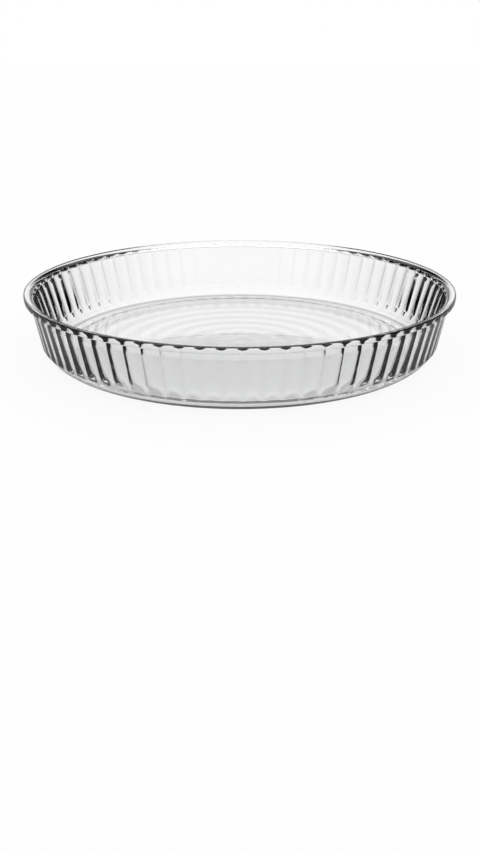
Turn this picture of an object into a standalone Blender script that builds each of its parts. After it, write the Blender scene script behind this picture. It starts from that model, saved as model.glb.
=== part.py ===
"""Round fluted flan dish, pressed in one piece of clear glass.

Metres, +Z up. The dish stands on its foot ring at z = 0 and its axis is the Z axis.
A profile is turned round that axis, and the wall is then pressed into flutes: each
flute bulges outwards on both faces of the wall, and meets its neighbours in a sharp
groove outside and a sharp ridge inside.
"""

import math

import bmesh
import bpy

# Driving sizes, metres
RIM_DIAMETER = 0.280
HEIGHT = 0.0432
WALL_THICKNESS = 0.0044
FLOOR_THICKNESS = 0.0046

# Rim: a flat land on top, an upright outer face and a fillet into the neck below it
RIM_OVERHANG = 0.0045
RIM_FACE = 0.0038
RIM_EDGE_ROUND = 0.0009
RIM_FOOT_ROUND = 0.0010
RIM_UNDERCUT = 0.0004
NECK_FILLET = 0.0013
NECK_HEIGHT = 0.0041
MOUTH_ROUND = 0.0040

# Wall
OUTER_TAPER = math.radians(12.7)
INNER_TAPER = math.radians(17.6)

# Flutes: shallow outside, deepest near the floor, and deeper hollows inside
FLUTE_COUNT = 72
FLUTE_DEPTH = 0.0005
FLUTE_TOP_DEPTH = 0.0001
FLUTE_RUNOUT = 0.0020
INNER_FLUTE_DEPTH = 0.0010
INNER_FLUTE_TOP_DEPTH = 0.0010
INNER_FLUTE_RUNOUT = 0.0030
INNER_FLUTE_MARGIN = 0.0014
INNER_FLUTE_ARCH = 0.0012

# Heel: a shoulder cone cuts the flutes off, and one curve runs from it to the foot
SHOULDER_HEIGHT = 0.0070
SHOULDER_STEP = 0.0028
SHOULDER_INSET = 0.0013
HEEL_REACH = 0.0076
HEEL_RISE = 0.0015
INNER_HEEL_ROUND = 0.0030

# Foot ring under the floor
FOOT_RADIUS = 0.1167
FOOT_WIDTH = 0.0040
FOOT_BEVEL = 0.0006
FOOT_RECESS = 0.0005

# Steps of the turned profile and of its curves
STEPS_PER_FLUTE = 2
CORNER_SEGMENTS = 3
EDGE_SEGMENTS = 2
HEEL_SEGMENTS = 5

# Most of a side that a rounding may take, and how far two points may lie apart and be one
LARGEST_SHARE = 0.95
SAME_PLACE = 0.000001

GLASS_COLOUR = (0.90, 0.93, 0.93, 1.0)
GLASS_ROUGHNESS = 0.02
GLASS_IOR = 1.47
SHARP_ANGLE = math.radians(28.0)

# Heights and radii that follow from the sizes above
RIM_RADIUS = RIM_DIAMETER / 2
RIM_FACE_BOTTOM = HEIGHT - RIM_FACE
NECK_TOP = RIM_FACE_BOTTOM - RIM_UNDERCUT
FLUTE_TOP = NECK_TOP - NECK_HEIGHT
FLUTE_FOOT = SHOULDER_HEIGHT + SHOULDER_STEP
SHOULDER_CUT = FLUTE_DEPTH + SHOULDER_INSET
INNER_FLUTE_TOP = HEIGHT - MOUTH_ROUND - INNER_FLUTE_MARGIN
INNER_FLUTE_FOOT = FLOOR_THICKNESS + INNER_HEEL_ROUND


def outer_radius(height):
    """Radius of the outer wall on the crests of its flutes."""
    return RIM_RADIUS - RIM_OVERHANG + math.tan(OUTER_TAPER) * (height - FLUTE_TOP)


def inner_radius(height):
    """Radius of the inner wall on the ridges between its flutes."""
    neck = outer_radius(FLUTE_TOP) - WALL_THICKNESS
    return neck + math.tan(INNER_TAPER) * (height - FLUTE_TOP)


def round_corner(before, corner, after, setback, segments):
    """Points of a smooth curve that rounds a corner, starting a setback away from it."""

    def towards(target):
        distance = math.dist(corner, target)
        share = min(setback / distance, LARGEST_SHARE)
        return tuple(c + share * (t - c) for c, t in zip(corner, target))

    return curve(towards(before), corner, towards(after), segments)


def curve(start, corner, end, segments):
    """Points of a curve that leaves start towards corner and comes into end from it."""
    points = []
    for index in range(segments + 1):
        t = index / segments
        weights = ((1 - t) ** 2, 2 * t * (1 - t), t ** 2)
        points.append(tuple(weights[0] * a + weights[1] * b + weights[2] * c
                            for a, b, c in zip(start, corner, end)))
    return points


def inner_profile():
    """Inner face, from the middle of the floor up to the mouth."""
    centre = (0.0, FLOOR_THICKNESS)
    corner = (inner_radius(FLOOR_THICKNESS), FLOOR_THICKNESS)
    wall_heights = (
        INNER_FLUTE_FOOT,
        INNER_FLUTE_FOOT + INNER_FLUTE_RUNOUT,
        INNER_FLUTE_TOP - INNER_FLUTE_RUNOUT,
        INNER_FLUTE_TOP,
    )
    wall = [(inner_radius(height), height) for height in wall_heights]
    heel = round_corner(centre, corner, wall[0], INNER_HEEL_ROUND, CORNER_SEGMENTS)
    return [centre] + heel[:-1] + wall


def rim_profile():
    """Rim, from the mouth over the land and down the outer face to the neck."""
    inner_corner = (inner_radius(HEIGHT), HEIGHT)
    mouth_start = (inner_radius(INNER_FLUTE_TOP), INNER_FLUTE_TOP)
    top_corner = (RIM_RADIUS, HEIGHT)
    foot_corner = (RIM_RADIUS, RIM_FACE_BOTTOM)
    neck_corner = (outer_radius(FLUTE_TOP), NECK_TOP)
    neck_foot = (outer_radius(FLUTE_TOP), FLUTE_TOP)
    points = round_corner(mouth_start, inner_corner, top_corner, MOUTH_ROUND, CORNER_SEGMENTS)
    points += round_corner(inner_corner, top_corner, foot_corner, RIM_EDGE_ROUND, EDGE_SEGMENTS)
    points += round_corner(top_corner, foot_corner, neck_corner, RIM_FOOT_ROUND, EDGE_SEGMENTS)
    points += round_corner(foot_corner, neck_corner, neck_foot, NECK_FILLET, EDGE_SEGMENTS)
    return points


def outer_profile():
    """Outer face, from the top of the flutes down to the middle of the underside."""
    shoulder = (outer_radius(SHOULDER_HEIGHT) - SHOULDER_CUT, SHOULDER_HEIGHT)
    heel_corner = (FOOT_RADIUS + HEEL_REACH, HEEL_RISE)
    foot_edge = (FOOT_RADIUS, 0.0)
    wall_heights = (FLUTE_TOP, FLUTE_TOP - FLUTE_RUNOUT, FLUTE_FOOT)
    wall = [(outer_radius(height), height) for height in wall_heights]
    heel = curve(shoulder, heel_corner, foot_edge, HEEL_SEGMENTS)
    land_inner = FOOT_RADIUS - FOOT_WIDTH
    foot = [
        (land_inner, 0.0),
        (land_inner - FOOT_BEVEL, FOOT_RECESS),
        (0.0, FOOT_RECESS),
    ]
    return wall + heel + foot


def turned_mesh(name, points, steps):
    """Turn a profile round the Z axis with a Screw modifier and return its mesh."""
    mesh = bpy.data.meshes.new(name)
    vertices = [(radius, 0.0, height) for radius, height in points]
    edges = [(index, index + 1) for index in range(len(points) - 1)]
    mesh.from_pydata(vertices, edges, [])
    lathe = bpy.data.objects.new(name, mesh)
    bpy.context.scene.collection.objects.link(lathe)
    screw = lathe.modifiers.new("turn", "SCREW")
    screw.axis = "Z"
    screw.angle = math.tau
    screw.screw_offset = 0.0
    screw.iterations = 1
    screw.steps = steps
    screw.render_steps = steps
    screw.use_merge_vertices = True
    screw.merge_threshold = SAME_PLACE
    depsgraph = bpy.context.evaluated_depsgraph_get()
    turned = bpy.data.meshes.new_from_object(lathe.evaluated_get(depsgraph))
    bpy.data.objects.remove(lathe)
    bpy.data.meshes.remove(mesh)
    return turned


def flute_share(angle):
    """1 in the middle of a flute and 0 on the line where two flutes meet."""
    turn = angle * FLUTE_COUNT / math.tau
    offset = 2.0 * (turn - math.floor(turn)) - 1.0
    return 1.0 - offset * offset


def near(value, target):
    """Whether two heights are the same height of the profile."""
    return abs(value - target) < SAME_PLACE


def wall_row(vertex):
    """Name of the fluted row of the wall that a vertex lies on, or None."""
    radius = math.hypot(vertex.co.x, vertex.co.y)
    height = vertex.co.z
    middle = (outer_radius(height) + inner_radius(height)) / 2
    if radius > middle:
        if near(height, FLUTE_TOP - FLUTE_RUNOUT):
            return "outer_top"
        if near(height, FLUTE_FOOT):
            return "outer_foot"
        return None
    if near(height, INNER_FLUTE_TOP - INNER_FLUTE_RUNOUT):
        return "inner_top"
    if near(height, INNER_FLUTE_FOOT + INNER_FLUTE_RUNOUT):
        return "inner_foot"
    return None


def press_vertex(vertex, row):
    """Move a vertex of a fluted row to the pressed surface."""
    angle = math.atan2(vertex.co.y, vertex.co.x)
    share = flute_share(angle)
    height = vertex.co.z
    if row == "outer_top":
        radius = outer_radius(height) - FLUTE_TOP_DEPTH * (1.0 - share)
    elif row == "outer_foot":
        height -= SHOULDER_STEP * FLUTE_DEPTH / SHOULDER_CUT * (1.0 - share)
        radius = outer_radius(height) - FLUTE_DEPTH * (1.0 - share)
    elif row == "inner_top":
        height += INNER_FLUTE_ARCH * (share - 1.0)
        radius = inner_radius(height) + INNER_FLUTE_TOP_DEPTH * share
    else:
        radius = inner_radius(height) + INNER_FLUTE_DEPTH * share
    vertex.co = (radius * math.cos(angle), radius * math.sin(angle), height)


def press_flutes(mesh):
    """Split the rings of the fluted rows once more and press the flutes into them."""
    model = bmesh.new()
    model.from_mesh(mesh)
    rows = {vertex: wall_row(vertex) for vertex in model.verts}
    rings = []
    for edge in model.edges:
        first, second = edge.verts
        if rows[first] and rows[first] == rows[second]:
            rings.append(edge)
    bmesh.ops.subdivide_edges(model, edges=rings, cuts=1)
    for vertex in model.verts:
        row = rows.get(vertex) or wall_row(vertex)
        if row:
            press_vertex(vertex, row)
    bmesh.ops.triangulate(model, faces=model.faces)
    bmesh.ops.recalc_face_normals(model, faces=model.faces)
    model.to_mesh(mesh)
    model.free()


def glass_material():
    """Clear colourless glass."""
    material = bpy.data.materials.new("clear_glass")
    material.use_nodes = True
    shader = material.node_tree.nodes["Principled BSDF"]
    shader.inputs["Base Color"].default_value = GLASS_COLOUR
    shader.inputs["Roughness"].default_value = GLASS_ROUGHNESS
    shader.inputs["Metallic"].default_value = 0.0
    shader.inputs["IOR"].default_value = GLASS_IOR
    shader.inputs["Transmission Weight"].default_value = 1.0
    return material


def make_dish(collection):
    """The whole dish: one closed body of glass."""
    profile = inner_profile() + rim_profile() + outer_profile()
    mesh = turned_mesh("glass_dish", profile, STEPS_PER_FLUTE * FLUTE_COUNT)
    press_flutes(mesh)
    mesh.name = "glass_dish"
    mesh.shade_smooth()
    mesh.set_sharp_from_angle(angle=SHARP_ANGLE)
    mesh.materials.clear()
    mesh.materials.append(glass_material())
    dish = bpy.data.objects.new("glass_dish", mesh)
    collection.objects.link(dish)
    return dish


def main():
    for old in list(bpy.data.objects):
        bpy.data.objects.remove(old)
    collection = bpy.data.collections.new("fluted_flan_dish")
    bpy.context.scene.collection.children.link(collection)
    make_dish(collection)


main()
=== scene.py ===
"""Round fluted flan dish of clear pressed glass, standing on a pale studio floor.

Metres, +Z up. The dish stands on its foot ring at z = 0 and its axis is the Z axis.
"""

from __future__ import annotations

import logging
import math
from dataclasses import dataclass, field
from enum import Enum

import bpy
import numpy as np
from mathutils import Matrix, Vector


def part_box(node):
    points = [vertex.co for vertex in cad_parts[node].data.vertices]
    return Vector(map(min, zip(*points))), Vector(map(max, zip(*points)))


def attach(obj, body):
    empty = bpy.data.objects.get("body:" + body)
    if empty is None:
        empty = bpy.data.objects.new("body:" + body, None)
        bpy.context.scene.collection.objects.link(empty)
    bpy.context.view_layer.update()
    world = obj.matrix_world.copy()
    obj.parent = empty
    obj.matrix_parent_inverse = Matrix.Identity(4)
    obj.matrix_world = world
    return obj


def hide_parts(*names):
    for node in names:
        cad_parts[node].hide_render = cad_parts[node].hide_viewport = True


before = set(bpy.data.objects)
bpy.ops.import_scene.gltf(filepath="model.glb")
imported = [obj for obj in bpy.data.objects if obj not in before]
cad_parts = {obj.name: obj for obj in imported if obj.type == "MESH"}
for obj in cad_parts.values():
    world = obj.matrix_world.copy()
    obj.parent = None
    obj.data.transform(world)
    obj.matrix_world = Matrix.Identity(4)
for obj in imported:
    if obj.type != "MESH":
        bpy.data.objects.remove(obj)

LOG = logging.getLogger("flan_dish")
PHOTO_WIDTH = 480
PHOTO_HEIGHT = 853
SENSOR_MM = 36.0

# Red, green, blue and opacity.
Colour = tuple[float, float, float, float]

# Radius and height of a point of the dish's profile.
Point = tuple[float, float]

# Where a smooth step is 0 and where it is 1. It falls where the first is the larger.
Span = tuple[float, float]

WHITE: Colour = (1.0, 1.0, 1.0, 1.0)


class Relief(Enum):
    """What is pressed into one ring of the dish's surface."""

    PLAIN = "plain"
    INNER_FLUTES = "inner flutes"
    OUTER_FLUTES = "outer flutes"


class Signal:
    """A socket of a node tree, on which Python's operators add Math nodes."""

    def __init__(self, graph: Graph, socket: bpy.types.NodeSocket) -> None:
        """Remember the graph and the socket."""
        self.graph = graph
        self.socket = socket

    def _math(self, operation: str, first: Signal | float, second: Signal | float) -> Signal:
        """Add one Math node on two values or signals."""
        return self.graph.add("ShaderNodeMath", {"operation": operation}, {0: first, 1: second})

    def __add__(self, other: Signal | float) -> Signal:
        """Sum."""
        return self._math("ADD", self, other)

    def __sub__(self, other: Signal | float) -> Signal:
        """Difference."""
        return self._math("SUBTRACT", self, other)

    def __mul__(self, other: Signal | float) -> Signal:
        """Product."""
        return self._math("MULTIPLY", self, other)

    def __truediv__(self, other: Signal | float) -> Signal:
        """Quotient."""
        return self._math("DIVIDE", self, other)

    def __pow__(self, other: Signal | float) -> Signal:
        """Power."""
        return self._math("POWER", self, other)

    def __radd__(self, other: Signal | float) -> Signal:
        """Sum with the plain number first."""
        return self._math("ADD", other, self)

    def __rsub__(self, other: Signal | float) -> Signal:
        """Difference with the plain number first."""
        return self._math("SUBTRACT", other, self)

    def __rmul__(self, other: Signal | float) -> Signal:
        """Product with the plain number first."""
        return self._math("MULTIPLY", other, self)

    def larger(self, other: Signal | float) -> Signal:
        """The larger of the two."""
        return self._math("MAXIMUM", self, other)

    def smaller(self, other: Signal | float) -> Signal:
        """The smaller of the two."""
        return self._math("MINIMUM", self, other)

    def cosine(self) -> Signal:
        """Cosine, with the signal in radians."""
        return self.graph.add("ShaderNodeMath", {"operation": "COSINE"}, {0: self})

    def step(self, span: Span) -> Signal:
        """Rise smoothly from 0 to 1 over the span, or fall where its first end is the larger.

        Args:
            span: Value at which the result is 0, and value at which it is 1.

        Returns:
            The smooth step of this signal.
        """
        low, high = min(span), max(span)
        rise = self.graph.add("ShaderNodeMapRange", {"interpolation_type": "SMOOTHSTEP"},
                              {"Value": self, 1: low, 2: high})
        return rise if span[0] < span[1] else 1.0 - rise


class Graph:
    """A node tree that is built from calls."""

    def __init__(self, tree: bpy.types.NodeTree) -> None:
        """Start from an empty tree."""
        self.tree = tree
        tree.nodes.clear()

    def add(self, kind: str, settings: dict[str, object] | None = None,
            inputs: dict[int | str, object] | None = None, output: int | str = 0) -> Signal:
        """Add one node, set it up and link it.

        Args:
            kind: The node's type.
            settings: Properties of the node, set first.
            inputs: Values or signals of its input sockets, by name or index.
            output: Name or index of the output socket that the result stands for.

        Returns:
            The output socket as a signal, or the first input of a node without outputs.
        """
        node = self.tree.nodes.new(kind)
        for name, value in (settings or {}).items():
            setattr(node, name, value)
        for name, value in (inputs or {}).items():
            if isinstance(value, Signal):
                self.tree.links.new(value.socket, node.inputs[name])
            else:
                node.inputs[name].default_value = value
        return Signal(self, node.outputs[output] if node.outputs else node.inputs[0])

    def light_path(self, output: str) -> Signal:
        """What a ray has met so far, by the name of the Light Path node's output."""
        return self.add("ShaderNodeLightPath", output=output)

    def noise(self, place: Signal, scale: float, detail: float) -> Signal:
        """Soft noise round 0.5, with this many ripples to the metre and layers of detail."""
        return self.add("ShaderNodeTexNoise", {},
                        {"Vector": place, "Scale": scale, "Detail": detail})

    def mix(self, share: Signal, first: Signal | Colour, second: Signal | Colour) -> Signal:
        """Blend two colours, the first at share 0 and the second at share 1."""
        return self.add("ShaderNodeMix", {"data_type": "RGBA"}, {0: share, 6: first, 7: second}, 2)

    def grey(self, value: Signal) -> Signal:
        """A grey colour of this value."""
        return self.add("ShaderNodeCombineColor", {}, {0: value, 1: value, 2: value})


def bend(start: np.ndarray, corner: np.ndarray, end: np.ndarray, rings: int) -> np.ndarray:
    """Carry the profile round a corner.

    The point at t, from 0 to 1, is (1-t)^2 of the start, 2t(1-t) of the corner and t^2 of
    the end.

    Args:
        start: Where the curve starts.
        corner: The corner that it is drawn towards.
        end: Where the curve ends.
        rings: Number of segments.

    Returns:
        The points of the curve, one row each.
    """
    t = np.linspace(0.0, 1.0, rings + 1)[:, None]
    return (1 - t) ** 2 * start + 2 * t * (1 - t) * corner + t ** 2 * end


def rounded_corner(before: Point, corner: Point, after: Point, setback: float,
                   rings: int) -> np.ndarray:
    """Round a corner of the profile by the same length on both of its sides.

    Args:
        before: A point on the way into the corner.
        corner: The corner itself.
        after: A point on the way out of the corner.
        setback: Distance from the corner to where the rounding starts and ends.
        rings: Number of segments.

    Returns:
        The points of the curve, one row each.
    """
    middle = np.array(corner)
    start = middle + setback * (np.array(before) - middle) / math.dist(before, corner)
    end = middle + setback * (np.array(after) - middle) / math.dist(after, corner)
    return bend(start, middle, end, rings)


def level_points(radii: np.ndarray, z: float) -> np.ndarray:
    """Points of the profile at these radii, all at one height."""
    return np.stack([radii, np.full(len(radii), z)], axis=1)


def smooth_step(value: np.ndarray) -> np.ndarray:
    """0 below 0, 1 above 1 and 3v^2 - 2v^3 between."""
    v = np.clip(value, 0.0, 1.0)
    return v * v * (3 - 2 * v)


@dataclass(frozen=True)
class ClearGlass:
    """Clear colourless pressed glass, with faint ripples and a trace of handling.

    Attributes:
        name: The material's name.
        tint: Colour of the clearest glass.
        deep_tint: Colour of the least clear glass.
        cloud_scale: How closely the two tints follow each other.
        index: Index of refraction.
        handled: Roughness where the glass was handled most. Elsewhere it is polished.
        smear_scale: How closely the handled places lie.
        smear_span: Noise at which a handled place begins, and at which it is full.
        ripple_scale: How closely the ripples lie.
        ripple_depth: Depth of the ripples.
    """

    name: str = "clear_glass"
    tint: Colour = (0.985, 0.988, 0.988, 1.0)
    deep_tint: Colour = (0.965, 0.970, 0.970, 1.0)
    cloud_scale: float = 18.0
    index: float = 1.47
    handled: float = 0.012
    smear_scale: float = 45.0
    smear_span: Span = (0.5, 0.75)
    ripple_scale: float = 70.0
    ripple_depth: float = 0.00002

    def build(self) -> bpy.types.Material:
        """Make the material.

        Returns:
            A transmission shader whose tint, roughness and ripple vary over the glass.
        """
        material = bpy.data.materials.new(self.name)
        material.use_nodes = True
        graph = Graph(material.node_tree)
        place = graph.add("ShaderNodeTexCoord", output="Object")
        cloud = graph.noise(place, self.cloud_scale, detail=2.0)
        smear = graph.noise(place, self.smear_scale, detail=3.0)
        ripple = graph.noise(place, self.ripple_scale, detail=1.0)
        bump = graph.add("ShaderNodeBump", {},
                         {"Height": ripple, "Strength": 1.0, "Distance": self.ripple_depth})
        shader = graph.add("ShaderNodeBsdfPrincipled", {}, {
            "Base Color": graph.mix(cloud, self.deep_tint, self.tint),
            "Roughness": self.handled * smear.step(self.smear_span),
            "Metallic": 0.0,
            "Normal": bump,
            "IOR": self.index,
            "Transmission Weight": 1.0})
        graph.add("ShaderNodeOutputMaterial", {}, {"Surface": shader})
        return material


@dataclass
class FlutedDish:
    """The dish: one closed body of glass, turned round the Z axis and pressed into flutes.

    Attributes:
        rim_radius: Radius of the rim's face, from the frame.
        height: Height of the rim's land over the foot ring, from the frame.
        wall: Thickness of the wall, level, at the top of the flutes.
        floor: Height of the inner floor over the foot ring.
        rim_overhang: How far the rim stands out over the neck.
        rim_face: Height of the rim's face.
        rim_edge_round: Rounding between the land and the face.
        rim_foot_round: Rounding under the face.
        rim_undercut: How much the underside of the rim falls towards the neck.
        neck_fillet: Rounding where the rim meets the neck.
        neck_height: Plain wall between the rim and the flutes.
        mouth_round: Radius of the mouth, between the inner wall and the land.
        outer_taper: Lean of the outer wall from upright.
        inner_taper: Lean of the inner wall from upright.
        flutes: Number of flutes round the dish.
        flute_top_depth: Depth of an outer flute at its top.
        flute_depth: Depth of an outer flute at the shoulder.
        flute_runout: Height in which an outer flute starts.
        flute_lead: How far the fluted rings start above the flutes.
        inner_flute_depth: Depth of an inner flute.
        inner_flute_fade: Height over the heel in which an inner flute grows to its depth.
        shoulder_height: Height of the foot of the shoulder.
        shoulder_step: Height of the shoulder, which cuts the outer flutes off.
        shoulder_inset: How far the shoulder's foot lies inside the hollows of the flutes.
        inner_heel_round: Rounding between the inner floor and the wall.
        foot_radius: Outer radius of the foot ring.
        heel_reach: How far the corner that the heel bends towards lies outside the foot ring.
        heel_rise: Height of that corner.
        foot_width: Width of the foot ring.
        foot_bevel: Width of the bevel inside the foot ring.
        foot_recess: Height of the recess inside the foot ring.
        columns_per_flute: Vertices across one flute.
        floor_rings: Bands of faces across the floor, and across the recess.
        inner_heel_rings: Bands round the inner heel.
        fade_band: Height over the inner heel that has fine bands.
        fade_rings: Bands in that height.
        inner_wall_rings: Bands from there to the mouth.
        mouth_rings: Bands round the mouth.
        rim_edge_rings: Bands round the rim's edge.
        rim_foot_rings: Bands round the foot of the rim's face.
        neck_rings: Bands round the neck's fillet.
        runout_rings: Bands where the outer flutes start.
        outer_wall_rings: Bands from there to the shoulder.
        shoulder_margin: Height over the shoulder that has fine bands.
        shoulder_rings: Bands from there to the foot of the shoulder.
        heel_rings: Bands round the outer heel.
        sharp_angle: Angle between two faces from which their edge is sharp.
        finish: What the dish is made of.
    """

    rim_radius: float
    height: float
    wall: float = 0.0044
    floor: float = 0.0046
    rim_overhang: float = 0.0045
    rim_face: float = 0.0038
    rim_edge_round: float = 0.0009
    rim_foot_round: float = 0.0010
    rim_undercut: float = 0.0004
    neck_fillet: float = 0.0013
    neck_height: float = 0.0041
    mouth_round: float = 0.0070
    outer_taper: float = math.radians(12.7)
    inner_taper: float = math.radians(17.6)
    flutes: int = 72
    flute_top_depth: float = 0.0001
    flute_depth: float = 0.0005
    flute_runout: float = 0.0020
    flute_lead: float = 0.0002
    inner_flute_depth: float = 0.0010
    inner_flute_fade: float = 0.0083
    shoulder_height: float = 0.0070
    shoulder_step: float = 0.0028
    shoulder_inset: float = 0.0013
    inner_heel_round: float = 0.0030
    foot_radius: float = 0.1167
    heel_reach: float = 0.0076
    heel_rise: float = 0.0015
    foot_width: float = 0.0040
    foot_bevel: float = 0.0006
    foot_recess: float = 0.0005
    columns_per_flute: int = 12
    floor_rings: int = 4
    inner_heel_rings: int = 8
    fade_band: float = 0.0070
    fade_rings: int = 9
    inner_wall_rings: int = 8
    mouth_rings: int = 17
    rim_edge_rings: int = 6
    rim_foot_rings: int = 5
    neck_rings: int = 6
    runout_rings: int = 4
    outer_wall_rings: int = 8
    shoulder_margin: float = 0.0012
    shoulder_rings: int = 15
    heel_rings: int = 12
    sharp_angle: float = math.radians(25.0)
    finish: ClearGlass = field(default_factory=ClearGlass)

    def __post_init__(self) -> None:
        """Work out the heights that follow from the sizes, and the middle of the mouth."""
        self.face_bottom = self.height - self.rim_face
        self.neck_top = self.face_bottom - self.rim_undercut
        self.flute_top = self.neck_top - self.neck_height
        self.mouth_foot = self.height - self.mouth_round * (1 - math.sin(self.inner_taper))
        self.mouth_axis = (self.inner_radius(self.mouth_foot)
                           + self.mouth_round * math.cos(self.inner_taper))

    def outer_radius(self, z: np.ndarray | float) -> np.ndarray | float:
        """Radius of the outer wall on the crests: a cone that widens upwards."""
        neck = self.rim_radius - self.rim_overhang
        return neck + math.tan(self.outer_taper) * (z - self.flute_top)

    def inner_radius(self, z: np.ndarray | float) -> np.ndarray | float:
        """Radius of the inner wall on the ridges: a cone that widens upwards."""
        neck = self.outer_radius(self.flute_top) - self.wall
        return neck + math.tan(self.inner_taper) * (z - self.flute_top)

    def mouth_radius(self, z: np.ndarray) -> np.ndarray:
        """Radius of the inner face without its flutes.

        Below the mouth it is the inner wall. The mouth is part of a circle, from the inner
        wall to the land: its axis less its radius times the root of 1 - rise^2, where rise
        goes from 0, level with the circle's middle, to 1 at the land.

        Args:
            z: Heights, any shape.

        Returns:
            The radii.
        """
        rise = np.clip((z - self.height) / self.mouth_round + 1, 0.0, 1.0)
        circle = self.mouth_axis - self.mouth_round * np.sqrt(1 - rise ** 2)
        return np.where(z < self.mouth_foot, self.inner_radius(z), circle)

    def inner_stations(self) -> list[tuple[Relief, np.ndarray]]:
        """Draw the profile of the inner face, from the middle of the floor up to the mouth.

        Returns:
            The floor, the heel and the wall with the mouth, each with its relief.
        """
        centre = (0.0, self.floor)
        corner = (self.inner_radius(self.floor), self.floor)
        above = self.floor + self.inner_heel_round
        heel = rounded_corner(centre, corner, (self.inner_radius(above), above),
                              self.inner_heel_round, self.inner_heel_rings)
        floor = level_points(np.linspace(0.0, heel[0, 0], self.floor_rings + 1)[:-1], self.floor)
        start = heel[-1, 1]
        fine = start + self.fade_band
        turn = np.linspace(self.inner_taper, math.pi / 2, self.mouth_rings + 1)
        z = np.concatenate([
            np.linspace(start, fine, self.fade_rings + 1),
            np.linspace(fine, self.mouth_foot, self.inner_wall_rings + 1)[1:-1],
            self.height - self.mouth_round * (1 - np.sin(turn))])
        wall = np.stack([self.mouth_radius(z), z], axis=1)
        return [(Relief.PLAIN, floor), (Relief.PLAIN, heel[:-1]), (Relief.INNER_FLUTES, wall)]

    def rim_stations(self) -> list[tuple[Relief, np.ndarray]]:
        """Draw the profile of the rim, from the mouth over the land and down to the neck.

        Returns:
            The land's edge, the foot of the face and the neck's fillet, all plain.
        """
        inner = (self.mouth_axis, self.height)
        top = (self.rim_radius, self.height)
        foot = (self.rim_radius, self.face_bottom)
        neck = (self.outer_radius(self.flute_top), self.neck_top)
        wall = (self.outer_radius(self.flute_top), self.flute_top)
        edge = rounded_corner(inner, top, foot, self.rim_edge_round, self.rim_edge_rings)
        under = rounded_corner(top, foot, neck, self.rim_foot_round, self.rim_foot_rings)
        fillet = rounded_corner(foot, neck, wall, self.neck_fillet, self.neck_rings)
        return [(Relief.PLAIN, part) for part in (edge, under, fillet)]

    def outer_stations(self) -> list[tuple[Relief, np.ndarray]]:
        """Draw the profile of the outer face, from the top of the flutes to under the floor.

        Returns:
            The wall, the heel, the foot ring and the recess, each with its relief.
        """
        foot = self.shoulder_height
        runout = self.flute_top - self.flute_runout
        fine = foot + self.shoulder_step + self.shoulder_margin
        z = np.concatenate([
            np.linspace(self.flute_top + self.flute_lead, runout, self.runout_rings + 1),
            np.linspace(runout, fine, self.outer_wall_rings + 1)[1:-1],
            np.linspace(fine, foot, self.shoulder_rings + 1)])
        wall = np.stack([self.outer_radius(z), z], axis=1)
        heel = bend(np.array((self.shoulder_radius(), foot)),
                    np.array((self.foot_radius + self.heel_reach, self.heel_rise)),
                    np.array((self.foot_radius, 0.0)), self.heel_rings)
        land = self.foot_radius - self.foot_width
        ring = np.array([(land, 0.0), (land - self.foot_bevel, self.foot_recess)])
        spokes = np.linspace(land, 0.0, self.floor_rings + 1)[1:]
        under = level_points(spokes, self.foot_recess)
        return [(Relief.OUTER_FLUTES, wall), (Relief.PLAIN, heel), (Relief.PLAIN, ring),
                (Relief.PLAIN, under)]

    def shoulder_radius(self) -> float:
        """Radius of the shoulder's foot, inside the hollows of the flutes."""
        return self.outer_radius(self.shoulder_height) - self.flute_depth - self.shoulder_inset

    def fall(self, z: np.ndarray) -> np.ndarray:
        """Share of the way down the fluted wall: 0 at its top and 1 at the shoulder."""
        return np.clip((self.flute_top - z) / (self.flute_top - self.shoulder_height), 0, 1)

    def press_outer(self, z: np.ndarray, across: np.ndarray) -> np.ndarray:
        """Radius of the fluted outer wall.

        The wall lies inside its crests by the flute's depth times the square of across,
        the place over the flute from -1 to 1. Below, a shoulder cone cuts the flutes off.

        Args:
            z: Heights, any shape.
            across: Places over the flute, same shape.

        Returns:
            The radii.
        """
        depth = self.flute_top_depth + (self.flute_depth - self.flute_top_depth) * self.fall(z)
        start = smooth_step((self.flute_top - z) / self.flute_runout)
        panel = self.outer_radius(z) - depth * start * across ** 2
        inset = self.flute_depth + self.shoulder_inset
        slope = inset / self.shoulder_step + math.tan(self.outer_taper)
        shoulder = self.shoulder_radius() + (z - self.shoulder_height) * slope
        return np.minimum(panel, shoulder)

    def press_inner(self, z: np.ndarray, across: np.ndarray) -> np.ndarray:
        """Radius of the fluted inner wall.

        Each flute is a hollow of its depth times 1 - across^2, and a smooth step fades it
        out over the heel. The rounded mouth cuts it off in an arch: the radius is the
        larger of the two.

        Args:
            z: Heights, any shape, down to the top of the heel.
            across: Places over the flute, same shape.

        Returns:
            The radii.
        """
        fade = smooth_step((z - z.min()) / self.inner_flute_fade)
        hollow = self.inner_flute_depth * fade * (1 - across ** 2)
        return np.maximum(self.inner_radius(z) + hollow, self.mouth_radius(z))

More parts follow.
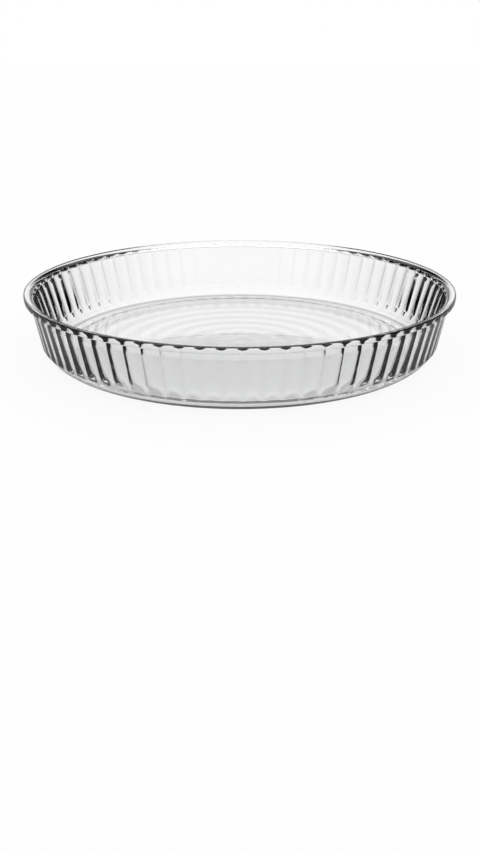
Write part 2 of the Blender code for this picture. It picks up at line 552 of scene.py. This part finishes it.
    def surface(self) -> tuple[np.ndarray, list[list[int]]]:
        """Work out the whole closed surface.

        A point at station i and column j is (r cos a, r sin a, z), where a is j equal
        steps round the axis and r and z come from the profile and the flutes. The first
        and last stations are single points on the axis.

        Returns:
            The vertices, and the faces as lists of vertex numbers.
        """
        stations = self.inner_stations() + self.rim_stations() + self.outer_stations()
        profile = np.vstack([points for _, points in stations])
        reliefs = np.array([relief for relief, points in stations for _ in points])
        columns = self.flutes * self.columns_per_flute
        number = np.arange(columns)
        angle = number * (math.tau / columns)
        across = 2 * np.mod(number / self.columns_per_flute, 1.0) - 1
        radius = np.repeat(profile[:, :1], columns, axis=1)
        z = np.repeat(profile[:, 1:], columns, axis=1)
        over = np.broadcast_to(across, z.shape)
        outer = reliefs == Relief.OUTER_FLUTES
        inner = reliefs == Relief.INNER_FLUTES
        radius[outer] = self.press_outer(z[outer], over[outer])
        radius[inner] = self.press_inner(z[inner], over[inner])
        grid = np.stack([radius * np.cos(angle), radius * np.sin(angle), z], axis=-1)
        top = [[0.0, 0.0, profile[0, 1]]]
        bottom = [[0.0, 0.0, profile[-1, 1]]]
        vertices = np.vstack([top, grid[1:-1].reshape(-1, 3), bottom])
        return vertices, self.faces(len(profile) - 2, columns)

    def faces(self, rings: int, columns: int) -> list[list[int]]:
        """Join the rings of vertices.

        Vertex 0 is the pole on the floor, then come the rings, one after another, and the
        last vertex is the pole under the dish.

        Args:
            rings: Number of rings, the two poles left out.
            columns: Number of vertices in a ring.

        Returns:
            Quads between neighbouring rings, and triangles round the poles.
        """
        here = np.arange(columns)
        after = (here + 1) % columns
        ring = 1 + np.arange(rings - 1)[:, None] * columns
        quads = np.stack([ring + here, ring + columns + here,
                          ring + columns + after, ring + after], axis=-1).reshape(-1, 4)
        first = np.stack([np.zeros(columns, int), 1 + here, 1 + after], axis=1)
        end = 1 + rings * columns
        last_ring = end - columns
        last = np.stack([last_ring + here, np.full(columns, end), last_ring + after], axis=1)
        return first.tolist() + quads.tolist() + last.tolist()

    def build(self) -> bpy.types.Object:
        """Make the dish and dress it in glass.

        Returns:
            The dish, riding on the root body in place of the plain solid.
        """
        vertices, faces = self.surface()
        mesh = bpy.data.meshes.new("fluted_dish")
        mesh.from_pydata(vertices.tolist(), [], faces)
        mesh.shade_smooth()
        mesh.set_sharp_from_angle(angle=self.sharp_angle)
        mesh.materials.append(self.finish.build())
        dish = bpy.data.objects.new("fluted_dish", mesh)
        bpy.context.scene.collection.objects.link(dish)
        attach(dish, "root")
        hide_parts("glass_dish")
        return dish


@dataclass(frozen=True)
class PaleFloor:
    """White floor that keeps a soft shadow, and glows for what is seen through glass.

    Under the dish the glow is table_light. On the near half it is a little less by the
    foot ring and little in the narrow shadow under the overhanging heel. The far half is
    lit through the wall: the shadow is soft there. Rings of light lie on the far half and
    fade out over the middle. Farther out the floor is clear for such rays, and the studio
    light round it is seen.

    The spans are distances from the dish's axis, unless they say otherwise.

    Attributes:
        name: The material's name.
        plain: Colour of the part that takes the shadow.
        camera_share: Share of the floor's own white, for the camera.
        table_light: Glow under the dish.
        foot_light: Glow by the foot ring, and in the soft shadow of the far half.
        shadow_light: Glow in the shadow of the near half.
        bounced_light: Share of the glow that is left after two bounces inside the glass.
        bounced_span: Number of bounces that leave that share, and that leave it all.
        foot_start: Where the dimming by the foot ring starts.
        foot_end: Where it ends.
        shadow_start: Where the shadow starts.
        shadow_end: Where it ends.
        far_span: From the near half to the far half, along Y.
        ring_depth: How much the rings dim the glow.
        ring_spacing: Distance from ring to ring.
        ring_fade: Where the rings fade in towards the far half, along Y.
        ring_end: Where the rings end.
        table_end: Where the floor becomes clear.
    """

    name: str = "studio_floor"
    plain: Colour = (0.9, 0.9, 0.9, 1.0)
    camera_share: float = 0.88
    table_light: float = 0.97
    foot_light: float = 0.65
    shadow_light: float = 0.12
    bounced_light: float = 0.08
    bounced_span: Span = (1.9, 1.1)
    foot_start: Span = (0.1080, 0.1120)
    foot_end: Span = (0.1165, 0.1140)
    shadow_start: Span = (0.1190, 0.1200)
    shadow_end: Span = (0.1260, 0.1240)
    far_span: Span = (0.0, 0.03)
    ring_depth: float = 0.20
    ring_spacing: float = 0.0135
    ring_fade: Span = (-0.03, 0.05)
    ring_end: Span = (0.115, 0.104)
    table_end: Span = (0.126, 0.128)

    def glow(self, radius: Signal, along: Signal) -> Signal:
        """Work out how bright the floor is for what is seen through glass.

        The rings dim it by ring_depth times half of 1 - cos(a), where a is the radius as a
        share of the ring spacing, times a full turn.

        Args:
            radius: Distance from the dish's axis.
            along: Distance along Y, away from the photograph's camera.

        Returns:
            The strength of the glow.
        """
        foot = radius.step(self.foot_start) * radius.step(self.foot_end)
        shadow = radius.step(self.shadow_start) * radius.step(self.shadow_end)
        far = along.step(self.far_span)
        wave = (radius * (math.tau / self.ring_spacing)).cosine()
        spread = along.step(self.ring_fade) * radius.step(self.ring_end)
        rings = self.ring_depth * (0.5 - 0.5 * wave) * spread
        soft = (self.table_light - self.foot_light) * (foot + (shadow - foot) * far)
        deep = (self.foot_light - self.shadow_light) * shadow * (1.0 - far)
        return self.table_light * (1.0 - rings) - soft - deep

    def build(self) -> bpy.types.Material:
        """Make the material.

        Returns:
            A mix of plain white, which takes the shadow, and the floor's own light.
        """
        material = bpy.data.materials.new(self.name)
        material.use_nodes = True
        graph = Graph(material.node_tree)
        camera = graph.light_path("Is Camera Ray")
        place = graph.add("ShaderNodeTexCoord", output="Object")
        flat = graph.add("ShaderNodeVectorMath", {"operation": "MULTIPLY"},
                         {0: place, 1: (1.0, 1.0, 0.0)})
        radius = graph.add("ShaderNodeVectorMath", {"operation": "LENGTH"}, {0: flat}, "Value")
        along = graph.add("ShaderNodeSeparateXYZ", {}, {0: place}, "Y")
        direct = graph.light_path("Glossy Depth").step(self.bounced_span)
        kept = self.bounced_light + (1.0 - self.bounced_light) * direct
        strength = (self.glow(radius, along) * kept).larger(camera)
        white = graph.add("ShaderNodeEmission", {}, {"Color": WHITE, "Strength": strength})
        clear = graph.add("ShaderNodeBsdfTransparent", {}, {"Color": WHITE})
        outside = radius.step(self.table_end) * (1.0 - camera)
        seen = graph.add("ShaderNodeMixShader", {}, {0: outside, 1: white, 2: clear})
        plain = graph.add("ShaderNodeBsdfDiffuse", {}, {"Color": self.plain})
        share = (self.camera_share * camera).larger(graph.light_path("Is Glossy Ray"))
        share = share.larger(graph.light_path("Is Transmission Ray"))
        mixed = graph.add("ShaderNodeMixShader", {}, {0: share, 1: plain, 2: seen})
        graph.add("ShaderNodeOutputMaterial", {}, {"Surface": mixed})
        return material


@dataclass(frozen=True)
class StudioLight:
    """Light from all round, white for the camera and shaped for the glass.

    For the glass, the light below the horizon is bright ahead and dimmer at the sides, a
    low band all round is dark, and a window ahead, the roof and what is behind the camera
    are bright. Rays that were bounced inside the glass see little of what is below the
    horizon.

    A height is the Z of a direction one unit long. A width is the cosine of the angle
    between straight ahead and the direction, seen from above.

    Attributes:
        name: The world's name.
        low_light: Light of the low band.
        ahead_light: Light below the horizon, straight ahead.
        side_light: Light below the horizon, elsewhere.
        ahead_width: From the sides to straight ahead.
        horizon: Heights at which the light below the horizon starts and is full.
        bounced_light: Share of it that a ray sees that was bounced inside the glass.
        window_light: Light of the window.
        window_foot: Heights of the window's foot.
        window_head: Heights of the window's head.
        window_width: Widths of the window's sides.
        roof_light: Light of the roof.
        roof_height: Heights at which the roof starts and is full.
        rear_light: Light from behind the camera.
        rear_width: Widths of its sides.
        rear_foot: Heights of its foot.
        least_level: Keeps the level part of a direction above 0, straight up and down.
    """

    name: str = "studio_light"
    low_light: float = 0.04
    ahead_light: float = 0.97
    side_light: float = 0.45
    ahead_width: Span = (0.88, 0.995)
    horizon: Span = (-0.005, -0.03)
    bounced_light: float = 0.08
    window_light: float = 0.9
    window_foot: Span = (0.11, 0.15)
    window_head: Span = (0.31, 0.28)
    window_width: Span = (0.5, 0.8)
    roof_light: float = 1.25
    roof_height: Span = (0.48, 0.64)
    rear_light: float = 0.90
    rear_width: Span = (-0.3, -0.7)
    rear_foot: Span = (-0.04, 0.04)
    least_level: float = 0.0001

    def build(self) -> None:
        """Make the world and light the scene with it."""
        world = bpy.data.worlds.new(self.name)
        bpy.context.scene.world = world
        world.use_nodes = True
        graph = Graph(world.node_tree)
        direction = graph.add("ShaderNodeTexCoord", output="Generated")
        y = graph.add("ShaderNodeSeparateXYZ", {}, {0: direction}, "Y")
        z = graph.add("ShaderNodeSeparateXYZ", {}, {0: direction}, "Z")
        ahead = y / (1.0 - z * z).larger(self.least_level) ** 0.5
        bounced = (graph.light_path("Glossy Depth").smaller(1.0)
                   * graph.light_path("Transmission Depth").smaller(1.0))
        window = (z.step(self.window_foot) * z.step(self.window_head)
                  * ahead.step(self.window_width))
        roof = z.step(self.roof_height)
        rear = ahead.step(self.rear_width) * (1.0 - roof) * z.step(self.rear_foot)
        brighter = (self.ahead_light - self.side_light) * ahead.step(self.ahead_width)
        around = self.side_light + brighter
        around = around * (1.0 - (1.0 - self.bounced_light) * bounced)
        strength = self.low_light + (around - self.low_light) * z.step(self.horizon)
        strength = strength + self.roof_light * roof + self.rear_light * rear
        strength = strength + self.window_light * window
        colour = graph.mix(graph.light_path("Is Camera Ray"), graph.grey(strength), WHITE)
        light = graph.add("ShaderNodeBackground", {}, {"Color": colour, "Strength": 1.0})
        graph.add("ShaderNodeOutputWorld", {}, {"Surface": light})


@dataclass(frozen=True)
class PhotoCamera:
    """The camera, where the photograph was taken from.

    Attributes:
        focal_pixels: Focal length, in pixels of the photograph.
        distance: Distance from the camera to the target.
        elevation: Angle at which the camera looks down.
        turn: Angle by which the camera stands round the dish's axis.
        target: What the middle of the lens points at, on the dish's axis.
        centre_row: Row of the photograph where the target is.
        centre_column: Column of the photograph where the target is.
    """

    focal_pixels: float = 1073.108
    distance: float = 0.70786
    elevation: float = math.radians(14.476)
    turn: float = math.radians(-0.745)
    target: tuple[float, float, float] = (0.0, 0.0, 0.0395)
    centre_row: float = 289.157
    centre_column: float = 239.7

    def build(self) -> bpy.types.Object:
        """Set up the camera.

        Returns:
            The camera, aimed at the axis of the dish and shifted to the photograph's frame.
        """
        lens = bpy.data.cameras.new("camera")
        camera = bpy.data.objects.new("camera", lens)
        bpy.context.scene.collection.objects.link(camera)
        forward = Vector((0.0, math.cos(self.elevation), -math.sin(self.elevation)))
        forward.rotate(Matrix.Rotation(self.turn, 3, "Z"))
        camera.location = Vector(self.target) - forward * self.distance
        camera.rotation_euler = forward.to_track_quat("-Z", "Y").to_euler()
        lens.sensor_fit = "VERTICAL"
        lens.sensor_height = SENSOR_MM
        lens.lens = self.focal_pixels / PHOTO_HEIGHT * SENSOR_MM
        lens.shift_y = (self.centre_row - PHOTO_HEIGHT / 2) / PHOTO_HEIGHT
        lens.shift_x = (PHOTO_WIDTH / 2 - self.centre_column) / PHOTO_HEIGHT
        bpy.context.scene.camera = camera
        return camera


@dataclass
class Studio:
    """A pale floor, soft light from all round and the camera.

    Attributes:
        floor_half: Half the side of the floor.
        floor_drop: How far the floor lies under the foot ring.
        finish: Finish of the floor.
        light: The light from all round.
        camera: The camera.
    """

    floor_half: float = 4.0
    floor_drop: float = 0.0002
    finish: PaleFloor = field(default_factory=PaleFloor)
    light: StudioLight = field(default_factory=StudioLight)
    camera: PhotoCamera = field(default_factory=PhotoCamera)

    def floor(self) -> bpy.types.Object:
        """Lay the floor, a plain square.

        Returns:
            The floor.
        """
        h = self.floor_half
        d = -self.floor_drop
        mesh = bpy.data.meshes.new("studio_floor")
        mesh.from_pydata([(-h, -h, d), (h, -h, d), (h, h, d), (-h, h, d)], [], [(0, 1, 2, 3)])
        mesh.materials.append(self.finish.build())
        floor = bpy.data.objects.new("studio_floor", mesh)
        bpy.context.scene.collection.objects.link(floor)
        return floor

    def build(self) -> None:
        """Put up the floor, the light and the camera."""
        self.floor()
        self.light.build()
        self.camera.build()
        bpy.context.scene.view_settings.view_transform = "Standard"


def main() -> None:
    """Build the studio and the dish."""
    logging.basicConfig(level=logging.INFO, format="%(name)s: %(message)s")
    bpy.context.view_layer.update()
    lowest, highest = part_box("glass_dish")
    Studio().build()
    dish = FlutedDish(rim_radius=highest.x, height=highest.z - lowest.z).build()
    LOG.info("%s: %d faces", dish.name, len(dish.data.polygons))


if __name__ == "__main__":
    main()
